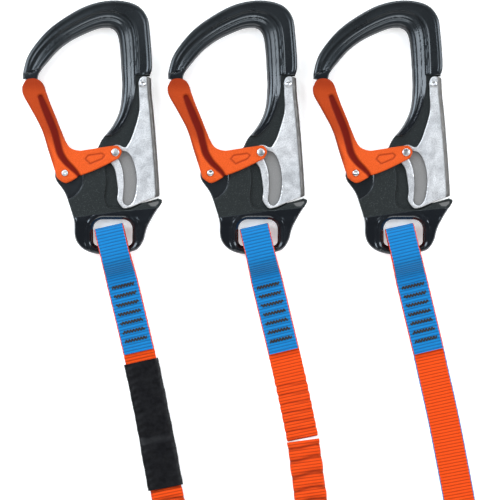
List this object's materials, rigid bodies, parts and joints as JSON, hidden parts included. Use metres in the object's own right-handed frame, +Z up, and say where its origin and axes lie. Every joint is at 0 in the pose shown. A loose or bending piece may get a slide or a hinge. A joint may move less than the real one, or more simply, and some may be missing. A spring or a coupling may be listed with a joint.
{
  "type": "three-hook safety tether",
  "caption": "Webbing safety tether with forged double-action hooks, orange gates and palm levers, an elastic leg and a flat leg joined under a sleeve, laid flat.",
  "frame": {"origin": "bottom centre of the box round the hooks, sewn straps and sleeve, on the surface that the tether lies on", "axes": "+Y along the hooks from the webbing towards the crowns, +X from the harness hook towards the other two, +Z up from the surface"},
  "size_m": [0.3252, 0.7089, 0.0225],
  "materials": {
    "forged_body": "black anodised, satin plate and polished bow",
    "gate": "orange anodised, sandblasted",
    "lever": "tumbled bare metal",
    "rivets": "bright",
    "springs": "drawn wire",
    "sewn_straps": "blue back and orange face, woven",
    "leg_webbing": "orange, woven",
    "sleeve": "black shrunk tube",
    "core": "elastic band"
  },
  "bodies": {
    "webbing": {"harness_strap": "sewn_straps", "elastic_strap": "sewn_straps", "static_strap": "sewn_straps", "junction_sleeve": "sleeve", "static_leg": "leg_webbing", "elastic_leg": "leg_webbing", "elastic_core": "core"},
    "harness_hook": {"harness_hook_body": "forged_body", "harness_gate_rivet": "rivets", "harness_lever_rivet": "rivets"},
    "harness_gate_arm": {"harness_gate": "gate", "harness_link_pin": "rivets", "harness_gate_spring": "springs"},
    "harness_palm_lever": {"harness_lever": "lever", "harness_lever_spring": "springs"},
    "elastic_hook": {"elastic_hook_body": "forged_body", "elastic_gate_rivet": "rivets", "elastic_lever_rivet": "rivets"},
    "elastic_gate_arm": {"elastic_gate": "gate", "elastic_link_pin": "rivets", "elastic_gate_spring": "springs"},
    "elastic_palm_lever": {"elastic_lever": "lever", "elastic_lever_spring": "springs"},
    "static_hook": {"static_hook_body": "forged_body", "static_gate_rivet": "rivets", "static_lever_rivet": "rivets"},
    "static_gate_arm": {"static_gate": "gate", "static_link_pin": "rivets", "static_gate_spring": "springs"},
    "static_palm_lever": {"static_lever": "lever", "static_lever_spring": "springs"}
  },
  "joints": [
    {"name": "harness_hook_swing", "type": "hinge", "parent": "webbing", "child": "harness_hook", "pos_m": [-0.08385, -0.00239, 0.0079], "axis": [1, 0, 0], "range_deg": [0, 90]},
    {"name": "harness_gate_hinge", "type": "hinge", "parent": "harness_hook", "child": "harness_gate_arm", "pos_m": [-0.11775, 0.04981, 0.0079], "axis": [0, 0, -1], "range_deg": [0, 42], "stiffness_Nm_per_rad": 0.12, "springref_deg": -17.19},
    {"name": "harness_lever_hinge", "type": "hinge", "parent": "harness_hook", "child": "harness_palm_lever", "pos_m": [-0.06465, 0.11071, 0.0079], "axis": [0, 0, -1], "range_deg": [0, 6], "stiffness_Nm_per_rad": 0.3, "springref_deg": -11.46},
    {"name": "elastic_hook_swing", "type": "hinge", "parent": "webbing", "child": "elastic_hook", "pos_m": [0.01535, -0.00239, 0.0079], "axis": [1, 0, 0], "range_deg": [0, 90]},
    {"name": "elastic_gate_hinge", "type": "hinge", "parent": "elastic_hook", "child": "elastic_gate_arm", "pos_m": [-0.01855, 0.04981, 0.0079], "axis": [0, 0, -1], "range_deg": [0, 42], "stiffness_Nm_per_rad": 0.12, "springref_deg": -17.19},
    {"name": "elastic_lever_hinge", "type": "hinge", "parent": "elastic_hook", "child": "elastic_palm_lever", "pos_m": [0.03455, 0.11071, 0.0079], "axis": [0, 0, -1], "range_deg": [0, 6], "stiffness_Nm_per_rad": 0.3, "springref_deg": -11.46},
    {"name": "static_hook_swing", "type": "hinge", "parent": "webbing", "child": "static_hook", "pos_m": [0.11455, -0.00239, 0.0079], "axis": [1, 0, 0], "range_deg": [0, 90]},
    {"name": "static_gate_hinge", "type": "hinge", "parent": "static_hook", "child": "static_gate_arm", "pos_m": [0.08065, 0.04981, 0.0079], "axis": [0, 0, -1], "range_deg": [0, 42], "stiffness_Nm_per_rad": 0.12, "springref_deg": -17.19},
    {"name": "static_lever_hinge", "type": "hinge", "parent": "static_hook", "child": "static_palm_lever", "pos_m": [0.13375, 0.11071, 0.0079], "axis": [0, 0, -1], "range_deg": [0, 6], "stiffness_Nm_per_rad": 0.3, "springref_deg": -11.46}
  ],
  "couplings": [
    {"joint": "harness_lever_hinge", "follows": "harness_gate_hinge", "ratio": 0.14285},
    {"joint": "elastic_lever_hinge", "follows": "elastic_gate_hinge", "ratio": 0.14285},
    {"joint": "static_lever_hinge", "follows": "static_gate_hinge", "ratio": 0.14285}
  ]
}
